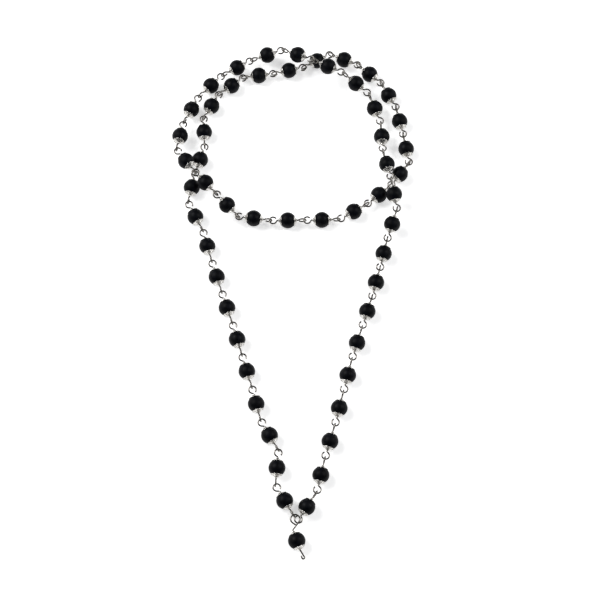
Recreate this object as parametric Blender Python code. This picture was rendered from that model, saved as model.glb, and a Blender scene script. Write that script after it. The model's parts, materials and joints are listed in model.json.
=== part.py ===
"""A wired rosary laid down in a doubled ring: beads on eye pins hooked eye through eye, and one pendant bead.

Metres, +Z up. The rosary lies on the plane z = 0 with the pendant towards -Y. Each strand bead is one rigid
link: a turned bead, a metal cap on each end of it and the wire pin that runs through them, bent to an eye
at each end. The pendant is made of its own bead, two caps and pin.
"""
from math import atan2, cos, pi, radians, sin

import bmesh
import bpy
import numpy as np
from mathutils import Matrix, Vector

# Sizes, in metres
LINKS = 54                    # strand beads between the pendant's two sides
BEAD_D = 0.0080               # across the round bead
BEAD_BAND = 0.0026            # width of the bead's flat waist
CAP_RIM_R = 0.00275           # the cap's rim, where it meets the bead
CAP_TOP_R = 0.00080           # the collar that the wire leaves by
CAP_H = 0.00200               # from the rim to the collar
WIRE_D = 0.00066
EYE_R = 0.0017                # of a strand eye's wire, to its centre line
PENDANT_EYE_R = 0.0021
HOOK_R = 0.0006               # the narrow open hook under the pendant
HOOK_LEG = 0.0033             # its straight legs, down from the cap and back up
HOOK_RETURN = 0.0011
RUN_CLEAR = 0.00040           # between two hooked wires along a tight strand
LOOSE_JOINTS = ((11, 25), (29, 31), (44, 47))    # first and last joint of each run where the chain lies loose
GAP = 0.0003                  # between pieces that touch
LIFT = 0.0054                 # of the upper strand where two strands cross
CAP_WALL = 0.0004
SIDES = 8                     # round a link, with a flat side down
PENDANT_SIDES = 12
SHARP = radians(50)           # edges sharper than this are shaded sharp
ARC_STEPS = 3                 # from an eye's end to its tip, on each side
PENDANT_ARC_STEPS = 10
HOOK_STEPS = 4
EYE_ARC = (radians(150), radians(-138))          # from an eye's neck, round its tip, to its cut end
PENDANT_EYE_ARC = (radians(-125), radians(125))  # the round part of the pendant's eye, about its tip
PENDANT_TILT = radians(21)    # how far the pendant leans from -Y
PENDANT_NECK = 0.0046         # from the cap back to the middle of the eye
PENDANT_EYE_SIDE = 0.0029     # of the eye's middle from the pin's line
PENDANT_AT = (-2.2, -107.4)   # the centre of the pendant's eye, in millimetres
FIRST_SIDE = radians(112)     # where the first link hooks the pendant's eye
LAST_WAY = radians(-64)       # from there to where the last link's eye reaches across it
EYES_APART = 0.003132         # from the first link's eye to the last's
PENDANT_SHOULDER = 1.3        # the sloping shoulder's place along the pin plus its radius, in bead radii
PENDANT_BEND = 0.5            # where that shoulder starts, in bead radii from the bead's middle
PENDANT_END = 0.875           # half the pendant bead's length, in bead radii
PENDANT_CAP_WALLS = 2         # from the cap's seat to its outer face, in wall thicknesses

# The centre line of the chain as it lies, by hand: x and y in millimetres, and 1 where it rides over a strand
ROUTE = [
    PENDANT_AT + (0,), (-10, -82, 0), (-21, -50, 0), (-31, -17, 0), (-41, 14, 0), (-50, 44, 0),
    (-53, 60, 0), (-50, 75, 0), (-48, 91, 0), (-43, 104, 0), (-34, 115, 0), (-22, 120, 0), (-8, 123, 0),
    (9, 127, 0), (23, 127, 0), (36, 119, 0), (45, 107, 0), (50, 92, 0), (51, 77, 0), (48, 62, 0),
    (40, 51, 0), (26, 43, 0), (9, 40, 0), (-7, 40, 0), (-23, 40, 0), (-36, 45, 0.5),
    (-46, 56, 1), (-56, 68, 1), (-59, 84, 0.4), (-55, 100, 0), (-44, 113, 0), (-31, 123, 0), (-16, 128, 0.4),
    (3, 126, 1), (18, 121, 1), (32, 112, 0.4), (39, 98, 0), (42, 82, 0.4), (43, 66, 1),
    (46, 51, 1), (44, 37, 0.4), (40, 24, 0), (37, 8, 0), (32, -7, 0), (27, -22, 0), (22, -38, 0),
    (19, -54, 0), (14, -70, 0), (8, -86, 0), PENDANT_AT + (0,),
]
ROUTE_MM = 0.001
ROUTE_MIDDLE = (-3.437, 3.408) # the middle of the whole rosary's box, which the origin is put under
ROUTE_PITCH = 0.01656         # the taut spacing of the links that the route was drawn for
ROUTE_BEAD_D = 0.0080
CURVE_STEPS = 12              # points along the smooth curve from one route point to the next
CAP_GUARD = 0.85              # the sphere that guards a cap, in bead radii
PUSH = 0.3                    # share of an overlap that each round takes out
ROUTE_PULL = 0.01             # how firmly each round draws the joints back to the route
LENGTH_ROUNDS = 20
ROUNDS = 300

WOOD = ("ebony_black", (0.012, 0.012, 0.014, 1), 0.45, 0.0)
METAL = ("silver_plated_wire", (0.62, 0.61, 0.58, 1), 0.28, 1.0)

bead_r = BEAD_D / 2
corner_r = bead_r / cos(pi / SIDES) ** 0.5    # a faceted ring as large as the round one
flat_r = corner_r * cos(pi / SIDES)
wire_r = WIRE_D / 2
cap_rim_x = (bead_r ** 2 - CAP_RIM_R ** 2) ** 0.5
collar_x = cap_rim_x + CAP_H
eye_x = collar_x + wire_r + EYE_R + GAP / 2
tip_x = eye_x + EYE_R
wire_step = WIRE_D + RUN_CLEAR
pitch = 2 * tip_x - wire_step
loose = 2 * (EYE_R - wire_step)    # how much closer two links lie where the chain is loose
last_rise = WIRE_D + 1.5 * GAP     # of the last link's eye over the pendant's


def eye(centre_x, radius, arc, steps, upright):
    """Stations round an eye whose tip is at +X, from its neck to its free end.

    A station is a ring's (centre, turn of its normal from +X, whether it turns about Y and not Z, radius).
    """
    neck, cut_end = arc
    angles = [neck * (1 - k / steps) for k in range(steps + 1)]
    angles += [cut_end * k / steps for k in range(1, steps + 1)]
    stations = []
    for angle in angles:
        x = centre_x + radius * cos(angle)
        side = radius * sin(angle)
        centre = Vector((x, 0, side)) if upright else Vector((x, side, 0))
        stations.append((centre, angle - pi / 2, upright, wire_r))
    return stations


def eye_behind(centre_x, radius, arc, steps, upright):
    """Stations of an eye whose tip is at -X, from its free end to its neck."""
    stations = []
    for centre, turn, turns_upright, ring_r in eye(centre_x, radius, arc, steps, upright):
        stations.append((Vector((-centre.x, centre.y, centre.z)), -turn, turns_upright, ring_r))
    return stations[::-1]


def round_arc(middle, radius, start, end, steps):
    """Points round an arc, with its angles measured from +X."""
    angles = [start + (end - start) * k / steps for k in range(steps + 1)]
    return [(middle[0] + radius * cos(a), middle[1] + radius * sin(a)) for a in angles]


def bent(points):
    """Stations along a wire bent through level points, each ring square to the way the wire runs there."""
    path = [Vector(p) for p in points]
    ways = [(b - a).normalized() for a, b in zip(path, path[1:])]
    stations = []
    for point, before, after in zip(path, ways[:1] + ways, ways + ways[-1:]):
        way = before + after
        stations.append((point.to_3d(), atan2(way.y, way.x), False, wire_r))
    return stations


def straight(profile):
    """Stations along X from (x, radius) pairs."""
    return [(Vector((x, 0, 0)), 0, False, r) for x, r in profile]


def sweep(name, stations, sides):
    """A closed body through rings: each ring is extruded from the last, and the ends are capped."""
    bm = bmesh.new()
    flat_down = Matrix.Rotation(pi / sides, 4, "X") @ Matrix.Rotation(pi / 2, 4, "Y")
    verts = bmesh.ops.create_circle(bm, cap_ends=False, radius=1, segments=sides)["verts"]
    bmesh.ops.transform(bm, matrix=flat_down, verts=verts)
    placed = Matrix.Identity(4)
    edges = list(bm.edges)
    first_edges = edges
    for index, (centre, turn, upright, radius) in enumerate(stations):
        if index:
            made = bmesh.ops.extrude_edge_only(bm, edges=edges)["geom"]
            verts = [g for g in made if isinstance(g, bmesh.types.BMVert)]
            edges = [g for g in made if isinstance(g, bmesh.types.BMEdge)]
        spin = Matrix.Rotation(-turn, 4, "Y") if upright else Matrix.Rotation(turn, 4, "Z")
        target = Matrix.Translation(centre) @ spin @ Matrix.Scale(radius, 4)
        bmesh.ops.transform(bm, matrix=target @ placed.inverted(), verts=verts)
        placed = target
    bmesh.ops.edgeloop_fill(bm, edges=first_edges)
    bmesh.ops.edgeloop_fill(bm, edges=edges)
    return finished_mesh(bm, name)


def turned(name, profile, sides):
    """A closed body of revolution about X from a closed outline of (x, radius)."""
    bm = bmesh.new()
    start = -pi / 2 + pi / sides
    ring = [bm.verts.new((x, r * cos(start), r * sin(start))) for x, r in profile]
    edges = [bm.edges.new((ring[k], ring[k - 1])) for k in range(len(ring))]
    bmesh.ops.spin(bm, geom=ring + edges, cent=(0, 0, 0), axis=(1, 0, 0), angle=2 * pi, steps=sides,
                   use_merge=True)
    bmesh.ops.remove_doubles(bm, verts=bm.verts, dist=1e-6)
    return finished_mesh(bm, name)


def finished_mesh(bm, name):
    """The bmesh as a smooth-shaded mesh with outward faces."""
    bmesh.ops.recalc_face_normals(bm, faces=bm.faces)
    mesh = bpy.data.meshes.new(name)
    bm.to_mesh(mesh)
    bm.free()
    mesh.shade_smooth()
    mesh.set_sharp_from_angle(angle=SHARP)
    return mesh


def material(look):
    """A Principled material from (name, colour, roughness, metallic)."""
    name, colour, roughness, metallic = look
    made = bpy.data.materials.get(name) or bpy.data.materials.new(name)
    made.use_nodes = True
    shader = made.node_tree.nodes["Principled BSDF"]
    shader.inputs["Base Color"].default_value = colour
    shader.inputs["Roughness"].default_value = roughness
    shader.inputs["Metallic"].default_value = metallic
    return made


def place(name, mesh, matrix):
    """A named object with this mesh, at this matrix."""
    made = bpy.data.objects.new(name, mesh)
    made.matrix_world = matrix
    bpy.context.scene.collection.objects.link(made)
    return made


def link_mesh(name, near_slack):
    """One strand link along +X, its origin at the joint with the link before it."""
    near = eye_behind(eye_x, EYE_R, EYE_ARC, ARC_STEPS, upright=True)
    bead = straight([
        (-collar_x, CAP_TOP_R), (-cap_rim_x, CAP_RIM_R), (-BEAD_BAND / 2, corner_r),
        (BEAD_BAND / 2, corner_r), (cap_rim_x, CAP_RIM_R), (collar_x, CAP_TOP_R),
    ])
    far = eye(eye_x, EYE_R, EYE_ARC, ARC_STEPS, upright=False)
    mesh = sweep(name, near + bead + far, SIDES)
    mesh.transform(Matrix.Translation((tip_x - (wire_step + near_slack) / 2, 0, 0)))
    mesh.materials.append(material(WOOD))
    return mesh


def catmull_rom(points, steps):
    """Points along a smooth curve through the given ones."""
    p = np.vstack([2 * points[0] - points[1], points, 2 * points[-1] - points[-2]])
    t = np.linspace(0, 1, steps, endpoint=False)[:, None]
    runs = []
    for a, b, c, d in zip(p, p[1:], p[2:], p[3:]):
        runs.append(0.5 * (2 * b + (c - a) * t + (2 * a - 5 * b + 4 * c - d) * t ** 2
                           + (3 * b - a - 3 * c + d) * t ** 3))
    return np.vstack(runs + [points[-1:]])


def joint_slack():
    """How much less than a tight joint's each joint takes up along the chain."""
    slack = np.zeros(LINKS + 1)
    for first, last in LOOSE_JOINTS:
        slack[first:last + 1] = loose
    return slack


def pendant_at():
    """The centre of the pendant's eye, at the route's scale."""
    scale = ROUTE_MM * pitch / ROUTE_PITCH
    return (PENDANT_AT[0] - ROUTE_MIDDLE[0]) * scale, (PENDANT_AT[1] - ROUTE_MIDDLE[1]) * scale


def start_joints(length):
    """The joints evenly along the route, before anything is moved clear."""
    route = np.array(ROUTE, float)
    route[:, :2] -= ROUTE_MIDDLE
    route[:, :2] *= ROUTE_MM * pitch / ROUTE_PITCH
    route[:, 2] *= LIFT * BEAD_D / ROUTE_BEAD_D
    curve = catmull_rom(route, CURVE_STEPS)
    along = np.concatenate([[0], np.cumsum(np.hypot(*np.diff(curve[:, :2], axis=0).T))])
    at = np.concatenate([[0], np.cumsum(length)])
    at *= along[-1] / at[-1]
    joints = np.column_stack([np.interp(at, along, curve[:, k]) for k in range(3)])
    joints[:, 2] = flat_r + np.maximum(joints[:, 2], 0)
    hooked_r = PENDANT_EYE_R - wire_step / 2
    joints[0, :2] = pendant_at() + hooked_r * np.array((cos(FIRST_SIDE), sin(FIRST_SIDE)))
    joints[-1, :2] = joints[0, :2] + EYES_APART * np.array((cos(LAST_WAY), sin(LAST_WAY)))
    joints[-1, 2] += last_rise
    return joints


def guards():
    """Spheres that guard each link: (place along the link, radius) at its bead, its two caps and its eyes."""
    cap_share = cap_rim_x / pitch
    eye_share = eye_x / pitch
    return [
        (0.5, corner_r), (0.5 - cap_share, CAP_GUARD * bead_r), (0.5 + cap_share, CAP_GUARD * bead_r),
        (0.5 - eye_share, EYE_R + wire_r), (0.5 + eye_share, EYE_R + wire_r),
    ]


def laid_out():
    """The chain's joints as it lies: near the route, a link apart, with each bead clear of other strands.

    Each round sets every link's length, then moves apart the spheres of links that lie too close, other
    than neighbours on the chain. Heights stay as the route has them.
    """
    slack = joint_slack()
    length = pitch - (slack[:-1] + slack[1:]) / 2
    start = start_joints(length)
    joints = start.copy()
    share = np.array([g[0] for g in guards()] * LINKS)
    radius = np.array([g[1] for g in guards()] * LINKS)
    owner = np.repeat(np.arange(LINKS), len(guards()))
    first, second = np.triu_indices(len(share), 1)
    other_strand = np.abs(owner[first] - owner[second]) > 1
    first, second = first[other_strand], second[other_strand]
    room = radius[first] + radius[second] + GAP
    for _ in range(ROUNDS):
        joints[1:-1, :2] += ROUTE_PULL * (start[1:-1, :2] - joints[1:-1, :2])
        ball = joints[owner] * (1 - share[:, None]) + joints[owner + 1] * share[:, None]
        apart = ball[second] - ball[first]
        distance = np.linalg.norm(apart, axis=1)
        close = distance < room
        flat = apart[close] * (1, 1, 0)
        across = np.maximum(np.linalg.norm(flat, axis=1), 1e-6)
        push = (PUSH * (room - distance)[close] / across)[:, None] * flat
        for ends, sign in ((first[close], -1), (second[close], 1)):
            np.add.at(joints, owner[ends], sign * push * (1 - share[ends, None]))
            np.add.at(joints, owner[ends] + 1, sign * push * share[ends, None])
        for _ in range(LENGTH_ROUNDS):
            step = np.diff(joints, axis=0)
            change = (0.5 * (1 - length / np.linalg.norm(step, axis=1)))[:, None] * step * (1, 1, 0)
            joints[:-1] += change
            joints[1:] -= change
            joints[[0, -1]] = start[[0, -1]]
    return joints


def link_matrix(start, end):
    """A link's frame: origin at its start joint, +X to its end joint, +Y level."""
    along = (end - start).normalized()
    level = Vector((0, 0, 1)).cross(along).normalized()
    turn = Matrix((along, level, along.cross(level))).transposed().to_4x4()
    return Matrix.Translation(start) @ turn


def build_strand(joints):
    """All the strand links, each its own object on a shared mesh."""
    slack = joint_slack()
    meshes = {}
    for index in range(LINKS):
        near = float(slack[index])
        if near not in meshes:
            meshes[near] = link_mesh(f"link_{len(meshes)}", near)
        matrix = link_matrix(Vector(joints[index]), Vector(joints[index + 1]))
        place(f"bead_link_{index + 1:02d}", meshes[near], matrix)


def pendant_sizes():
    """Along the pin from the bead's middle: to the bead's end, the caps' outer faces and the eye's middle."""
    end_x = PENDANT_END * bead_r
    top_x = end_x + GAP + PENDANT_CAP_WALLS * CAP_WALL
    return end_x, top_x, top_x + GAP + PENDANT_NECK


def pendant_matrix():
    """The pendant's frame: origin at its bead's middle, +X along its pin away from the eye, +Y level."""
    eye_back = pendant_sizes()[2]
    lean = Matrix.Rotation(PENDANT_TILT - pi / 2, 4, "Z")
    eye_middle = Matrix.Translation((*pendant_at(), flat_r))
    return eye_middle @ lean @ Matrix.Translation((eye_back, -PENDANT_EYE_SIDE, 0))


def pendant_wire(top_x, eye_back):
    """The pin's level path: the eye from its cut end round to the stem, through the bead, and the hook."""
    r, side = PENDANT_EYE_R, PENDANT_EYE_SIDE
    start, end = PENDANT_EYE_ARC
    leave_x = top_x + GAP
    round_part = [(-x, y) for x, y in round_arc((eye_back, side), r, start, end, PENDANT_ARC_STEPS)]
    cut_end = (-leave_x - 1.8 * WIRE_D, side - r)
    elbow = [(-leave_x - 2 * WIRE_D, side + 0.5 * r), (-leave_x - WIRE_D, side / 3), (-leave_x, 0)]
    bend_x = leave_x + HOOK_LEG
    hook = round_arc((bend_x, 0), HOOK_R, pi / 2, -pi / 2, HOOK_STEPS)
    return [cut_end] + round_part + elbow + [(leave_x, 0)] + hook + [(bend_x - HOOK_RETURN, -HOOK_R)]


def build_pendant():
    """The pendant: a bead that turns on the pin, two caps and the pin."""
    matrix = pendant_matrix()
    end_x, top_x, eye_back = pendant_sizes()
    hole_r = wire_r + GAP
    waist_r = flat_r / cos(pi / PENDANT_SIDES)
    shoulder = PENDANT_SHOULDER * bead_r
    bend_x = PENDANT_BEND * bead_r
    half = [(BEAD_BAND / 2, waist_r), (bend_x, shoulder - bend_x), (end_x, shoulder - end_x)]
    outline = half + [(end_x, hole_r), (-end_x, hole_r)] + [(-x, r) for x, r in half[::-1]]
    bead_mesh = turned("pendant_bead", outline, PENDANT_SIDES)
    bead_mesh.materials.append(material(WOOD))
    seat_x = end_x + GAP
    seat = shoulder + 1.5 * GAP
    cap = [
        (seat_x, hole_r), (seat_x, seat - seat_x), (seat - CAP_RIM_R, CAP_RIM_R),
        (seat - CAP_RIM_R + CAP_WALL / 2, CAP_RIM_R + CAP_WALL),
        (seat_x + CAP_WALL, seat - seat_x + CAP_WALL / 2), (top_x, CAP_TOP_R + CAP_WALL / 2), (top_x, hole_r),
    ]
    cap_mesh = turned("pendant_cap", cap, PENDANT_SIDES)
    cap_mesh.materials.append(material(METAL))
    pin_mesh = sweep("pendant_pin", bent(pendant_wire(top_x, eye_back)), SIDES)
    pin_mesh.materials.append(material(METAL))
    place("guru_pin", pin_mesh, matrix)
    place("guru_bead", bead_mesh, matrix)
    place("guru_cap_lower", cap_mesh, matrix)
    place("guru_cap_upper", cap_mesh, matrix @ Matrix.Rotation(pi, 4, "Z"))


def main():
    for old in list(bpy.data.objects):
        bpy.data.objects.remove(old)
    build_strand(laid_out())
    build_pendant()


if __name__ == "__main__":
    main()
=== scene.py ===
"""A wired rosary of turned ebony beads, laid down on a pale table.

Each strand bead is four pieces: the drilled wooden bead, a pierced metal cap on each side of it, and the wire
eye pin that runs through them. The pendant is the same bead and caps on a longer pin with an open hook.
"""
import json
from math import asin, atan2, cos, pi, radians, sin, sqrt
from random import Random

import bmesh
import bpy
from mathutils import Matrix, Vector


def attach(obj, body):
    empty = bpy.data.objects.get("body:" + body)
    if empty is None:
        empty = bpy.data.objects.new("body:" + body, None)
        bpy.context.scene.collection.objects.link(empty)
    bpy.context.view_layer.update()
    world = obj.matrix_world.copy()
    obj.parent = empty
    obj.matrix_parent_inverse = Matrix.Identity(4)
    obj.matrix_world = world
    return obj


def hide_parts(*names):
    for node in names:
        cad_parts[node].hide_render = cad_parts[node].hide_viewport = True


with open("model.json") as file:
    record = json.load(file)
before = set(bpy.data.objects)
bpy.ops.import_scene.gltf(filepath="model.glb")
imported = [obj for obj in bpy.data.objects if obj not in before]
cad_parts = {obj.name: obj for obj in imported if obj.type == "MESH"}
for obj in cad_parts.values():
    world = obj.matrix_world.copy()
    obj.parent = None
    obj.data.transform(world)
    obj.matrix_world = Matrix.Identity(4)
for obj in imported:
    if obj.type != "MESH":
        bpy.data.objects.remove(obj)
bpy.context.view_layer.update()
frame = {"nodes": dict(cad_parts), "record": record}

MM = 0.001

# Sizes of the real pieces
LINKS = 54
BEAD_R = 3.96 * MM
BEAD_END_X = 3.62 * MM          # half the turned bead's length, to its flat ends
BEAD_HOLE_R = 0.55 * MM
WIRE_R = 0.38 * MM
EYE_R = 1.70 * MM               # of a strand eye, to the middle of its wire
EYE_X = 7.085 * MM              # of its centre, from the bead's
EYE_NECK = 2.42 * MM            # from the eye's centre back to where the wire leaves the straight
NECK_R = 0.76 * MM              # of the bend between the straight wire and the eye
EYE_CUT = (radians(138), radians(146), radians(130))    # past the tip, where each of three sorts of eye is cut
PENDANT_EYE_R = 2.10 * MM
PENDANT_EYE_X = 9.50 * MM       # of its centre, from the pendant bead's
PENDANT_EYE_SIDE = 2.90 * MM    # of its centre, from the line of the pin
PENDANT_EYE_NECK = 4.75 * MM
PENDANT_EYE_CUT = radians(125)
PENDANT_EYE_TAIL = 2.1 * MM     # its straight cut end
HOOK_R = 0.60 * MM
HOOK_X = 8.20 * MM
HOOK_NECK = 3.20 * MM
HOOK_CUT = radians(90)
HOOK_TAIL = 1.1 * MM

# The cap's outer outline, from its rolled rim to the collar round the wire: x from the bead's centre, and
# radius
CAP_OUTLINE = (
    (3.08, 2.68), (3.14, 2.72), (3.24, 2.70), (3.31, 2.58), (3.30, 2.44), (3.34, 2.32), (3.50, 2.14),
    (3.76, 1.72), (3.98, 1.30), (4.14, 1.04), (4.26, 0.86), (4.40, 0.79), (4.60, 0.77), (4.64, 0.62),
    (4.64, 0.46),
)
CAP_COLUMNS = 24
CAP_WALL = 0.14 * MM
PETALS = 8
PIERCED = (1.36 * MM, 1.98 * MM)     # the pierced openings lie between these radii
PIERCED_EDGE = 0.09 * MM

# Where tarnish stays on a cap: on its rim's edge, and within a width of two radii
RIM_EDGE_X = 3.13
GROOVE_R, GROOVE_WIDTH = 2.40, 0.12
COLLAR_R, COLLAR_WIDTH = 0.95, 0.15

BEAD_AROUND, BEAD_RINGS = 32, 18
WIRE_SIDES = 12
EYE_STEPS = 20
NECK_STEPS = 5
SAME_PLACE = 0.001 * MM
DOUBLES = 0.002 * MM
BELT = 0.9                      # a CAD corner this share of BEAD_R from the axis is on the bead's widest ring
BELT_ROUNDS = 4
FLOOR_Z = -0.14 * MM
FLOOR_SIZE = 6
SENSOR_WIDTH, LENS = 36, 100.6

# Patterns, in ripples to the metre: 900 is one every 1.1 mm
GRAIN, GRAIN_ALONG = 900.0, 0.16
BANDS, PORES, WEAR = 160.0, 2200.0, 420.0
TARNISH, SCRATCHES = 900.0, 5200.0

chance = Random(54)


# ---- materials ----

def linear(hex_colour):
    """An sRGB hex colour as linear RGBA."""
    channels = [int(hex_colour[k:k + 2], 16) / 255 for k in (1, 3, 5)]
    return [c / 12.92 if c <= 0.04045 else ((c + 0.055) / 1.055) ** 2.4 for c in channels] + [1.0]


def new_material(name):
    """A material with only its Principled shader, and that shader."""
    made = bpy.data.materials.new(name)
    made.use_nodes = True
    return made, made.node_tree.nodes["Principled BSDF"]


def add_node(material, kind, inputs=None, stops=(), feeds=(), **settings):
    """A node of this kind. An input that is another node's output is linked to it.

    stops are a colour ramp's (place, hex colour) pairs. feeds are (own output, shader's input) pairs to link.
    """
    tree = material.node_tree
    node = tree.nodes.new(kind)
    for key, value in settings.items():
        setattr(node, key, value)
    for key, value in (inputs or {}).items():
        if isinstance(value, bpy.types.NodeSocket):
            tree.links.new(value, node.inputs[key])
        else:
            node.inputs[key].default_value = value
    for index, (place, colour) in enumerate(stops):
        if index >= len(node.color_ramp.elements):
            node.color_ramp.elements.new(1.0)
        node.color_ramp.elements[index].position = place
        node.color_ramp.elements[index].color = linear(colour)
    for output, socket in feeds:
        tree.links.new(node.outputs[output], tree.nodes["Principled BSDF"].inputs[socket])
    return node


def ebony():
    """Ebony: nearly black heartwood, turned, sanded and rubbed with a little wax.

    Its grain is fine and straight, about 1 mm apart with finer streaks in it and short open pores, and shows
    as faint blue-grey and brown streaks. The wax is thin, so the surface is a soft satin that is duller where
    the pores are.
    """
    made, shader = new_material("ebony_turned_waxed")
    place = add_node(made, "ShaderNodeTexCoord").outputs["Object"]
    along = add_node(made, "ShaderNodeMapping", {"Vector": place, "Scale": (1.0, GRAIN_ALONG, 1.0)})
    grain = add_node(made, "ShaderNodeTexNoise", {
        "Vector": along.outputs["Vector"], "Scale": GRAIN, "Detail": 5.0, "Roughness": 0.62})
    bands = add_node(made, "ShaderNodeTexNoise", {"Vector": place, "Scale": BANDS, "Detail": 2.0})
    pores = add_node(made, "ShaderNodeTexVoronoi", {
        "Vector": along.outputs["Vector"], "Scale": PORES, "Randomness": 1.0})
    pore = add_node(made, "ShaderNodeMapRange", {
        "Value": pores.outputs["Distance"], "From Min": 0.10, "From Max": 0.34, "To Min": 1.0, "To Max": 0.0})
    streak = add_node(made, "ShaderNodeValToRGB", {"Fac": grain.outputs["Fac"]}, stops=(
        (0.30, "#030406"), (0.50, "#05070b"), (0.62, "#080b13"), (0.78, "#0f1016")))
    tone = add_node(made, "ShaderNodeValToRGB", {"Fac": bands.outputs["Fac"]},
                    stops=((0.35, "#b9c0d6"), (0.65, "#ffffff")))
    mixed = add_node(made, "ShaderNodeMix", {
        "Factor": 1.0, 6: streak.outputs["Color"], 7: tone.outputs["Color"]},
        data_type="RGBA", blend_type="MULTIPLY")
    add_node(made, "ShaderNodeMix", {
        "Factor": pore.outputs["Result"], 6: mixed.outputs[2], 7: linear("#020203")},
        data_type="RGBA", feeds=[(2, "Base Color")])
    worn = add_node(made, "ShaderNodeTexNoise", {"Vector": place, "Scale": WEAR, "Detail": 3.0})
    rough = add_node(made, "ShaderNodeMapRange", {
        "Value": worn.outputs["Fac"], "From Min": 0.3, "From Max": 0.7, "To Min": 0.40, "To Max": 0.60})
    rougher = add_node(made, "ShaderNodeMath", {0: rough.outputs["Result"], 1: pore.outputs["Result"]},
                       operation="MAXIMUM")
    add_node(made, "ShaderNodeMath", {0: rougher.outputs[0], 1: 0.72}, operation="MINIMUM",
             feeds=[(0, "Roughness")])
    height = add_node(made, "ShaderNodeMath", {
        0: grain.outputs["Fac"], 1: pore.outputs["Result"]}, operation="SUBTRACT")
    add_node(made, "ShaderNodeBump", {
        "Height": height.outputs[0], "Strength": 0.35, "Distance": 0.03 * MM}, feeds=[("Normal", "Normal")])
    shader.inputs["IOR"].default_value = 1.5
    shader.inputs["Specular IOR Level"].default_value = 0.10
    return made


def silver_plate(name, oxide, tones):
    """Silver plate on drawn or stamped brass: bright where hands polish it, grey with tarnish in the hollows.

    Its patches of tarnish are about 1 mm across, and tones are its colours from bright to tarnished; for the
    wire they are kept dark as painted shade. oxide is whether the piece has an "oxide" attribute for the
    hollows that a polishing cloth doesn't reach.
    """
    made, shader = new_material(name)
    place = add_node(made, "ShaderNodeTexCoord").outputs["Object"]
    patches = add_node(made, "ShaderNodeTexNoise", {
        "Vector": place, "Scale": TARNISH, "Detail": 4.0, "Roughness": 0.6})
    scratches = add_node(made, "ShaderNodeTexNoise", {"Vector": place, "Scale": SCRATCHES, "Detail": 2.0})
    tarnish = patches.outputs["Fac"]
    if oxide:
        hollow = add_node(made, "ShaderNodeAttribute", attribute_name="oxide")
        tarnish = add_node(made, "ShaderNodeMath", {
            0: hollow.outputs["Fac"], 1: 0.55, 2: tarnish}, operation="MULTIPLY_ADD").outputs[0]
    add_node(made, "ShaderNodeValToRGB", {"Fac": tarnish}, stops=zip((0.40, 0.60, 0.80, 1.0), tones),
             feeds=[("Color", "Base Color")])
    add_node(made, "ShaderNodeMapRange", {
        "Value": tarnish, "From Min": 0.35, "From Max": 1.0, "To Min": 0.16, "To Max": 0.46},
        feeds=[("Result", "Roughness")])
    add_node(made, "ShaderNodeBump", {
        "Height": scratches.outputs["Fac"], "Strength": 0.15, "Distance": 0.02 * MM},
        feeds=[("Normal", "Normal")])
    shader.inputs["Metallic"].default_value = 1.0
    return made


EBONY = ebony()
# The wire's tones are far darker than the caps' silver: painted shade for the thin wire's dark edges, with
# tarnish patches over it.
SHADE_DARKENED_WIRE = silver_plate("silver_plated_drawn_wire_painted_shade", False, ("#8f8c87", "#64615d", "#403e3b", "#242221"))
STAMPED_CAP = silver_plate("silver_plated_stamped_brass", True, ("#e9e8e5", "#c8c5c0", "#86837d", "#2b2927"))


# ---- modelling ----

def begin(name):
    """The primitive that was just added is the piece, with its turn in its mesh, open for modelling."""
    piece = bpy.context.object
    piece.name = piece.data.name = name
    bpy.ops.object.transform_apply(location=True, rotation=True, scale=True)
    bpy.ops.object.mode_set(mode="EDIT")
    return piece


def pick(kind, test):
    """Selects just the vertices, edges or faces that pass the test."""
    bpy.ops.mesh.select_mode(type=kind)
    bpy.ops.mesh.select_all(action="DESELECT")
    data = bpy.context.object.data
    mesh = bmesh.from_edit_mesh(data)
    for part in {"VERT": mesh.verts, "EDGE": mesh.edges, "FACE": mesh.faces}[kind]:
        part.select_set(test(part))
    mesh.select_flush_mode()
    bmesh.update_edit_mesh(data)


def radius(point):
    """Distance from the X axis."""
    return sqrt(point.y ** 2 + point.z ** 2)


def end_piece(piece, material, smooth_angle):
    """Closes the modelling: doubles merged, faces outwards, shaded smooth but for its sharp edges."""
    bpy.ops.mesh.select_all(action="SELECT")
    bpy.ops.mesh.remove_doubles(threshold=DOUBLES)
    bpy.ops.mesh.normals_make_consistent(inside=False)
    bpy.ops.object.mode_set(mode="OBJECT")
    piece.data.materials.append(material)
    bpy.ops.object.shade_smooth_by_angle(angle=smooth_angle)
    return piece


def take_mesh(piece):
    """The piece's mesh, which copies are made from, once the piece itself is put away."""
    mesh = piece.data
    bpy.data.objects.remove(piece)
    return mesh


def turned_bead():
    """A ball along X, faced off flat at both ends and drilled through."""
    bpy.ops.object.select_all(action="DESELECT")
    bpy.ops.mesh.primitive_uv_sphere_add(segments=BEAD_AROUND, ring_count=BEAD_RINGS, radius=BEAD_R,
                                         rotation=(0, pi / 2, 0))
    bead = begin("bead")
    face_r = sqrt(BEAD_R ** 2 - BEAD_END_X ** 2)
    for side in (-1, 1):
        bpy.ops.mesh.select_all(action="SELECT")
        bpy.ops.mesh.bisect(plane_co=(side * BEAD_END_X, 0, 0), plane_no=(side, 0, 0), clear_outer=True)
        pick("VERT", lambda v: v.co.x * side > BEAD_END_X - SAME_PLACE)
        bpy.ops.mesh.extrude_region_move()
        shrink = BEAD_HOLE_R / face_r
        bpy.ops.transform.resize(value=(1, shrink, shrink), center_override=(side * BEAD_END_X, 0, 0))
    pick("VERT", lambda v: radius(v.co) < BEAD_HOLE_R * 1.2)
    bpy.ops.mesh.bridge_edge_loops()
    return take_mesh(end_piece(bead, EBONY, radians(35)))


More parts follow.
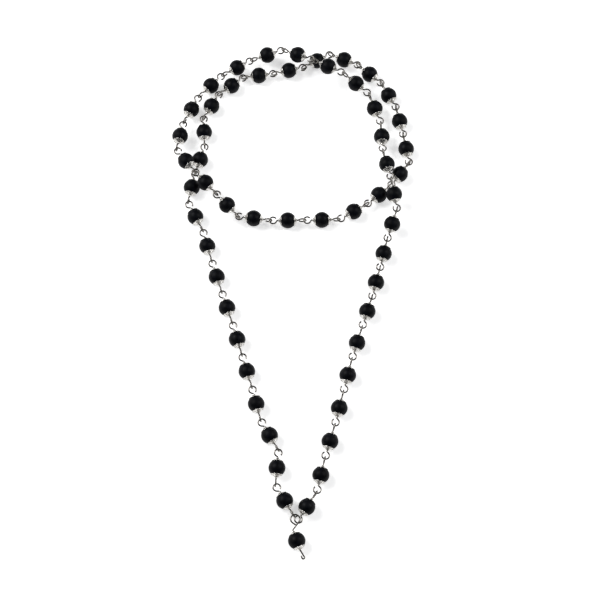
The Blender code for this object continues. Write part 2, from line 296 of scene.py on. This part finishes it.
def pierced_cap():
    """A stamped cap that opens towards the bead: rolled rim, groove, pierced petals and the wire's collar."""
    bpy.ops.object.select_all(action="DESELECT")
    first_x, first_r = CAP_OUTLINE[0]
    bpy.ops.mesh.primitive_circle_add(vertices=CAP_COLUMNS, radius=first_r * MM, location=(first_x * MM, 0, 0),
                                      rotation=(0, pi / 2, 0))
    cap = begin("cap")
    bpy.ops.mesh.select_all(action="SELECT")
    for (x0, r0), (x1, r1) in zip(CAP_OUTLINE, CAP_OUTLINE[1:]):
        bpy.ops.mesh.extrude_region_move(TRANSFORM_OT_translate={"value": ((x1 - x0) * MM, 0, 0)})
        bpy.ops.transform.resize(value=(1, r1 / r0, r1 / r0), center_override=(x1 * MM, 0, 0))
    bpy.ops.mesh.select_all(action="SELECT")
    bpy.ops.mesh.normals_make_consistent(inside=False)
    columns_each = CAP_COLUMNS // PETALS

    def in_opening(face):
        middle = face.calc_center_median()
        column = int((atan2(middle.z, middle.y) / (2 * pi) % 1) * CAP_COLUMNS)
        return PIERCED[0] < radius(middle) < PIERCED[1] and column % columns_each == 0

    pick("FACE", in_opening)
    bpy.ops.mesh.inset(thickness=PIERCED_EDGE, use_even_offset=True)
    bpy.ops.mesh.delete(type="FACE")
    end_piece(cap, STAMPED_CAP, radians(50))
    wall = cap.modifiers.new("wall", "SOLIDIFY")
    wall.thickness = CAP_WALL
    wall.offset = -1
    wall.use_even_offset = True
    bpy.ops.object.modifier_apply(modifier="wall")
    mesh = take_mesh(cap)
    oxide = mesh.attributes.new("oxide", "FLOAT", "POINT")
    for vertex in mesh.vertices:
        r = radius(vertex.co) / MM
        edge = 1.0 if vertex.co.x < RIM_EDGE_X * MM else 0.0
        groove = max(0.0, 1 - abs(r - GROOVE_R) / GROOVE_WIDTH)
        collar = max(0.0, 1 - abs(r - COLLAR_R) / COLLAR_WIDTH)
        oxide.data[vertex.index].value = max(edge, groove, collar)
    return mesh


def bend_loop(side, upright, loop_x, loop_side, loop_r, neck_length, cut, tail):
    """From the open ring of wire at x = 0, draws the wire out straight and bends it to a loop at its end.

    side is +1 or -1 along X. The loop's plane is level, or upright. Its centre is loop_x out and loop_side
    across, and neck_length is from there back to where the straight ends. The loop goes on past its tip by
    the angle cut, and then straight for the length tail.
    """
    axis = Vector((0, -1, 0)) if upright else Vector((0, 0, 1))
    swing = Vector((0, 0, 1)) if upright else Vector((0, 1, 0))
    way = Vector((side, 0, 0))
    quarter = sign_of_turn(way, swing, axis)
    neck_across = loop_side - NECK_R
    apart = sqrt(neck_length ** 2 + neck_across ** 2)
    lean = asin((loop_r + NECK_R) / apart) + atan2(neck_across, neck_length)
    run = sqrt(apart ** 2 - (loop_r + NECK_R) ** 2)
    straight_end = loop_x - neck_length
    pick("VERT", lambda v: abs(v.co.x) < SAME_PLACE and v.co.length < 2 * WIRE_R)
    bpy.ops.mesh.extrude_region_move(TRANSFORM_OT_translate={"value": way * straight_end})
    neck_middle = way * straight_end + swing * NECK_R
    bpy.ops.mesh.spin(steps=NECK_STEPS, angle=-quarter * lean, center=neck_middle, axis=axis)
    bpy.ops.mesh.extrude_region_move(TRANSFORM_OT_translate={
        "value": (way * cos(lean) + swing * sin(lean)) * run})
    loop_middle = way * loop_x + swing * loop_side
    bpy.ops.mesh.spin(steps=EYE_STEPS, angle=quarter * (pi / 2 + lean + cut), center=loop_middle, axis=axis)
    if tail:
        last = pi / 2 + cut
        bpy.ops.mesh.extrude_region_move(TRANSFORM_OT_translate={
            "value": (way * cos(last) - swing * sin(last)) * tail})
    bpy.ops.mesh.edge_face_add()


def sign_of_turn(way, swing, axis):
    """+1 if turning from way towards swing is a right-handed turn about the axis."""
    return 1 if way.cross(swing).dot(axis) > 0 else -1


def wire_ring(name):
    """A ring of wire round the X axis at x = 0, open for drawing out."""
    bpy.ops.object.select_all(action="DESELECT")
    bpy.ops.mesh.primitive_circle_add(vertices=WIRE_SIDES, radius=WIRE_R, rotation=(0, pi / 2, 0))
    return begin(name)


def eye_pin(cut):
    """A length of wire through one bead, with an upright eye behind and a level eye ahead."""
    pin = wire_ring("eye_pin")
    bend_loop(-1, True, EYE_X, 0, EYE_R, EYE_NECK, cut, 0)
    bend_loop(1, False, EYE_X, 0, EYE_R, EYE_NECK, cut, 0)
    return take_mesh(end_piece(pin, SHADE_DARKENED_WIRE, radians(50)))


def hook_pin():
    """The pendant's wire: the large eye that both ends of the strand hang on, and an open hook below."""
    pin = wire_ring("hook_pin")
    bend_loop(-1, False, PENDANT_EYE_X, PENDANT_EYE_SIDE, PENDANT_EYE_R, PENDANT_EYE_NECK, PENDANT_EYE_CUT,
              PENDANT_EYE_TAIL)
    bend_loop(1, False, HOOK_X, 0, HOOK_R, HOOK_NECK, HOOK_CUT, HOOK_TAIL)
    return take_mesh(end_piece(pin, SHADE_DARKENED_WIRE, radians(50)))


# ---- where each link lies ----

joint_at = {j["child"]: j for j in frame["record"]["behaviour"]["joints"]}


def link_place(number):
    """A strand link's frame: the bead's centre, +X towards the next link and +Y level.

    Its axis goes from its joint through the middle of the widest part of its CAD body.
    """
    start = Vector(joint_at[f"link_{number:02d}"]["pos_m"])
    solid = frame["nodes"][f"bead_link_{number:02d}"].data
    corners = [Vector(c) for c in {tuple(round(x, 6) for x in v.co) for v in solid.vertices}]
    centre = sum(corners, Vector()) / len(corners)
    for _ in range(BELT_ROUNDS):
        along = (centre - start).normalized()
        belt = [c for c in corners if (c - start).cross(along).length > BELT * BEAD_R]
        centre = sum(belt, Vector()) / len(belt)
    return frame_at(centre, (centre - start).normalized())


def pendant_place():
    """The pendant's frame at its bead's centre: +X away from its eye and +Y level."""
    spin = joint_at["pendant_bead"]
    return frame_at(Vector(spin["pos_m"]), Vector(spin["axis"]).normalized())


def frame_at(centre, along):
    """A frame with its origin at centre, +X along and +Y level."""
    level = Vector((0, 0, 1)).cross(along).normalized()
    turn = Matrix((along, level, along.cross(level))).transposed().to_4x4()
    return Matrix.Translation(centre) @ turn


def set_down(name, mesh, matrix, body, node):
    """A copy of the mesh with its place baked in, riding on its body in place of the CAD node."""
    own = mesh.copy()
    own.transform(matrix)
    piece = bpy.data.objects.new(name, own)
    own.name = name
    bpy.context.scene.collection.objects.link(piece)
    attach(piece, body)
    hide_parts(node)
    return piece


def uneven_bead():
    """A turn about the hole and the small differences in size that hand-turned beads have."""
    turn = Matrix.Rotation(chance.uniform(0, 2 * pi), 4, "X")
    return turn @ Matrix.Diagonal((chance.uniform(0.975, 1.0), chance.uniform(0.975, 1.01),
                                   chance.uniform(0.975, 1.01), 1))


def turned_round():
    """A turn about the pin by any angle."""
    return Matrix.Rotation(chance.uniform(0, 2 * pi), 4, "X")


bead_mesh = turned_bead()
cap_mesh = pierced_cap()
pin_meshes = [eye_pin(cut) for cut in EYE_CUT]
hook_mesh = hook_pin()
behind = Matrix.Rotation(pi, 4, "Z")

for number in range(1, LINKS + 1):
    at = link_place(number)
    body, node = f"link_{number:02d}", f"bead_link_{number:02d}"
    set_down(f"bead_{number:02d}", bead_mesh, at @ uneven_bead(), body, node)
    set_down(f"cap_{number:02d}_behind", cap_mesh, at @ behind @ turned_round(), body, node)
    set_down(f"cap_{number:02d}_ahead", cap_mesh, at @ turned_round(), body, node)
    set_down(f"eye_pin_{number:02d}", pin_meshes[number % len(pin_meshes)], at, body, node)

at = pendant_place()
set_down("pendant_bead", bead_mesh, at @ uneven_bead(), "pendant_bead", "guru_bead")
set_down("pendant_cap_lower", cap_mesh, at @ turned_round(), "pendant", "guru_cap_lower")
set_down("pendant_cap_upper", cap_mesh, at @ behind @ turned_round(), "pendant", "guru_cap_upper")
set_down("pendant_hook_pin", hook_mesh, at, "pendant", "guru_pin")


# ---- table, light and camera ----

def table():
    """A plain white laminate table top."""
    made, shader = new_material("white_laminate")
    shader.inputs["Base Color"].default_value = linear("#f7f7f7")
    shader.inputs["Roughness"].default_value = 0.7
    shader.inputs["Emission Color"].default_value = linear("#ffffff")
    shader.inputs["Emission Strength"].default_value = 0.55
    bpy.ops.object.select_all(action="DESELECT")
    bpy.ops.mesh.primitive_plane_add(size=FLOOR_SIZE, location=(0, 0, FLOOR_Z))
    top = bpy.context.object
    top.name = "table_top"
    top.data.materials.append(made)


def soft_box(name, place, target, width, height, power):
    """A square or oblong area light at place that faces the target."""
    lamp = bpy.data.lights.new(name, "AREA")
    lamp.shape = "RECTANGLE"
    lamp.size, lamp.size_y = width, height
    lamp.energy = power
    holder = bpy.data.objects.new(name, lamp)
    holder.location = place
    holder.rotation_euler = (Vector(target) - Vector(place)).to_track_quat("-Z", "Y").to_euler()
    bpy.context.scene.collection.objects.link(holder)


table()
soft_box("soft_box_left", (-0.75, 0.35, 0.85), (0, 0, 0), 0.7, 0.7, 11)
soft_box("soft_box_right", (0.8, 0.15, 0.75), (0, 0, 0), 0.5, 0.8, 6)

world = bpy.data.worlds.new("studio")
world.use_nodes = True
world.node_tree.nodes["Background"].inputs["Color"].default_value = linear("#dfe4ee")
world.node_tree.nodes["Background"].inputs["Strength"].default_value = 0.06
bpy.context.scene.world = world
bpy.context.scene.view_settings.view_transform = "Standard"

CAMERA_FROM = Vector((0.0034, -0.2770, 0.7518))
CAMERA_TO = Vector((0.0034, -0.0034, 0.0))
lens = bpy.data.cameras.new("camera")
lens.lens = LENS
lens.sensor_width = SENSOR_WIDTH
lens.clip_start = 0.01
camera = bpy.data.objects.new("camera", lens)
camera.location = CAMERA_FROM
camera.rotation_euler = (CAMERA_TO - CAMERA_FROM).to_track_quat("-Z", "Y").to_euler()
bpy.context.scene.collection.objects.link(camera)
bpy.context.scene.camera = camera
